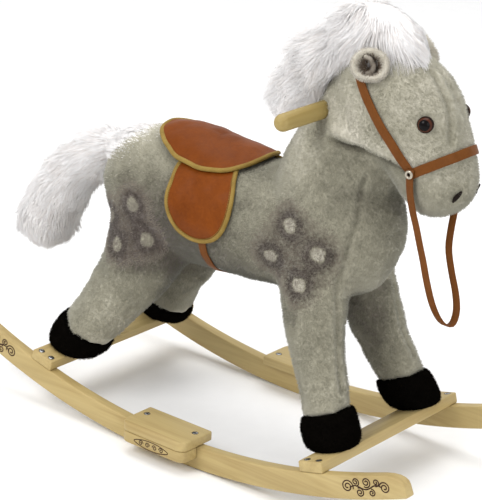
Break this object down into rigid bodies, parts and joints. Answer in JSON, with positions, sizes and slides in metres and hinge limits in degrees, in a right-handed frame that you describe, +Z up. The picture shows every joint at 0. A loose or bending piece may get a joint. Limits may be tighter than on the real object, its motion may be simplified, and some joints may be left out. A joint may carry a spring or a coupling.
{
  "type": "plush rocking horse",
  "caption": "Plush pony with saddle, bridle and hand grip on a pair of curved wooden rockers, for a small child to ride.",
  "frame": {"origin": "on the floor, under the middle of the whole object's outline; the rockers' own middle is 16 mm in front of it", "axes": "+X towards the horse's nose, +Y towards the horse's left, +Z up"},
  "size_m": [0.7714, 0.352, 0.6176],
  "materials": {
    "pine": "satin",
    "zinc_steel": "satin",
    "nickel": "polished",
    "grey_plush": "matte",
    "black_plush": "matte",
    "white_pile": "matte",
    "tan_leather": "satin",
    "eye_gloss": "gloss"
  },
  "bodies": {
    "horse": {"rocker_right": "pine", "rocker_left": "pine", "footrest_plate_right": "pine", "footrest_plate_left": "pine", "footrest_block_right": "pine", "footrest_block_left": "pine", "front_rail": "pine", "rear_rail": "pine", "spine_board": "pine", "neck_post": "pine", "handle_dowel": "pine", "leg_post_front_right": "pine", "leg_post_front_left": "pine", "leg_post_rear_right": "pine", "leg_post_rear_left": "pine", "footrest_screw_right_1": "zinc_steel", "footrest_screw_right_2": "zinc_steel", "footrest_screw_left_1": "zinc_steel", "footrest_screw_left_2": "zinc_steel", "front_rail_screw_1": "zinc_steel", "front_rail_screw_2": "zinc_steel", "front_rail_screw_3": "zinc_steel", "front_rail_screw_4": "zinc_steel", "rear_rail_screw_1": "zinc_steel", "rear_rail_screw_2": "zinc_steel", "rear_rail_screw_3": "zinc_steel", "rear_rail_screw_4": "zinc_steel", "hoof_bolt_front_right": "zinc_steel", "hoof_bolt_front_left": "zinc_steel", "hoof_bolt_rear_right": "zinc_steel", "hoof_bolt_rear_left": "zinc_steel", "bridle_rivet_right": "nickel", "bridle_rivet_left": "nickel", "plush_torso": "grey_plush", "plush_head": "grey_plush", "plush_neck": "grey_plush", "ear_right": "grey_plush", "ear_left": "grey_plush", "leg_front_right": "grey_plush", "leg_front_left": "grey_plush", "leg_rear_right": "grey_plush", "leg_rear_left": "grey_plush", "hoof_front_right": "black_plush", "hoof_front_left": "black_plush", "hoof_rear_right": "black_plush", "hoof_rear_left": "black_plush", "mane": "white_pile", "saddle_seat": "tan_leather", "saddle_flap_right": "tan_leather", "saddle_flap_left": "tan_leather", "girth_strap": "tan_leather", "noseband": "tan_leather", "bridle_headpiece": "tan_leather", "eye_right": "eye_gloss", "eye_left": "eye_gloss"},
    "tail": {"tail": "white_pile"},
    "reins": {"reins": "tan_leather"}
  },
  "joints": [
    {"name": "reins_swing", "type": "hinge", "parent": "horse", "child": "reins", "pos_m": [0.296, 0, 0.436], "axis": [0, -1, 0], "range_deg": [-25, 105]},
    {"name": "tail_swing", "type": "hinge", "parent": "horse", "child": "tail", "pos_m": [-0.206, 0, 0.334], "axis": [0, 0, 1], "range_deg": [-25, 25], "stiffness_Nm_per_rad": 0.4}
  ]
}
